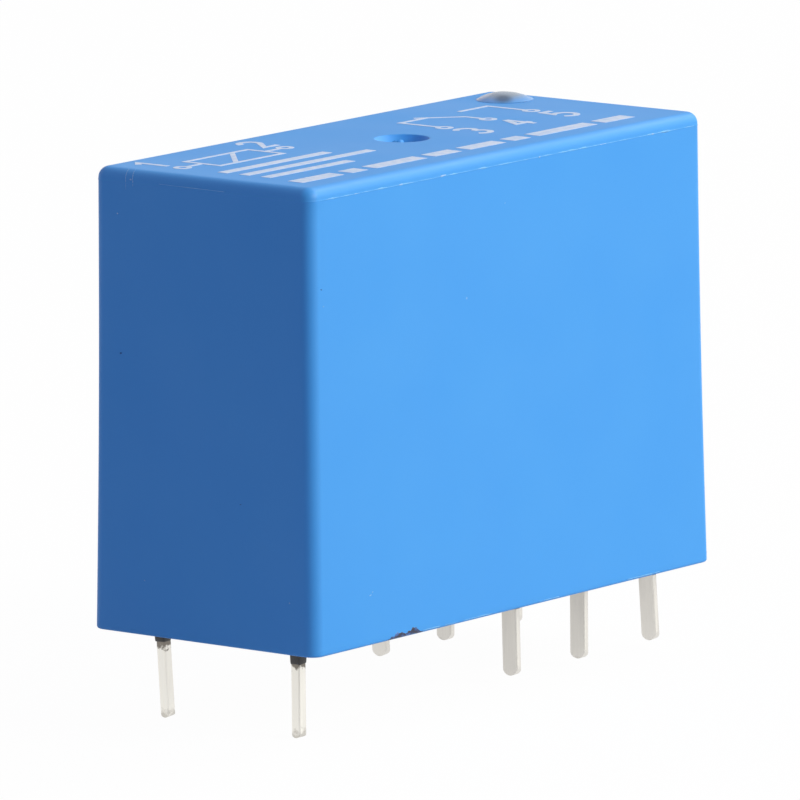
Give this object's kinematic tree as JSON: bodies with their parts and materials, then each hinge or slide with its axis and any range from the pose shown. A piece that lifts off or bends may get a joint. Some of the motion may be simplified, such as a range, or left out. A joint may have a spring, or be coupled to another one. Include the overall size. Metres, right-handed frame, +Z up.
{
  "type": "pcb power relay",
  "caption": "Sealed electromagnetic power relay for a circuit board: blue drafted case on tinned pins, with a coil, rocking armature, card and changeover contact inside.",
  "frame": {"origin": "centre of the case's rim, in the plane that meets the board", "axes": "+X along the length from the coil end to the contact end, +Y to the side with the vent seal, +Z up from the board"},
  "size_m": [0.029, 0.0126, 0.0251],
  "materials": {
    "case_plastic": "moulded, satin",
    "vent_resin": "cast drop, glossy",
    "base_plastic": "moulded",
    "potting_resin": "cast, glossy",
    "bobbin_plastic": "moulded",
    "enamelled_wire": "enamelled copper",
    "coil_tape": "film",
    "plated_iron": "plated",
    "spring_steel": "rolled",
    "card_plastic": "moulded",
    "tinned_copper": "solder dipped",
    "spring_bronze": "rolled",
    "brass_rivet": "headed",
    "silver_alloy": "headed",
    "solder": "melted"
  },
  "bodies": {
    "housing": {"case": "case_plastic", "vent_seal": "vent_resin", "base": "base_plastic", "potting": "potting_resin", "bobbin": "bobbin_plastic", "coil_winding": "enamelled_wire", "coil_tape": "coil_tape", "core": "plated_iron", "yoke": "plated_iron", "return_spring": "spring_steel", "com_terminal": "tinned_copper", "spring_rivets": "brass_rivet", "nc_terminal": "tinned_copper", "nc_contact": "silver_alloy", "no_terminal": "tinned_copper", "no_contact": "silver_alloy", "coil_pin_front": "tinned_copper", "coil_pin_rear": "tinned_copper", "coil_lead_front": "enamelled_wire", "coil_lead_rear": "enamelled_wire", "coil_solder_joints": "solder"},
    "armature": {"armature": "plated_iron"},
    "card": {"actuator_card": "card_plastic"},
    "contact_arm": {"moving_spring": "spring_bronze", "moving_contact": "silver_alloy"}
  },
  "joints": [
    {"name": "armature_rock", "type": "hinge", "parent": "housing", "child": "armature", "pos_m": [-0.00167, 0, 0.01632], "axis": [0, -1, 0], "range_deg": [0, 5], "stiffness_Nm_per_rad": 0.002, "springref_deg": -11.46, "deforming": ["return_spring"]},
    {"name": "card_slide", "type": "slide", "parent": "housing", "child": "card", "axis": [1, 0, 0], "range_m": [0, 0.0004]},
    {"name": "contact_flex", "type": "hinge", "parent": "housing", "child": "contact_arm", "pos_m": [0.00749, 0, 0.00605], "axis": [0, 1, 0], "range_deg": [0, 4], "deforming": ["moving_spring"]}
  ],
  "couplings": [
    {"joint": "card_slide", "follows": "armature_rock", "m_per_rad": 0.00455},
    {"joint": "contact_flex", "follows": "armature_rock", "ratio": 0.79599}
  ]
}
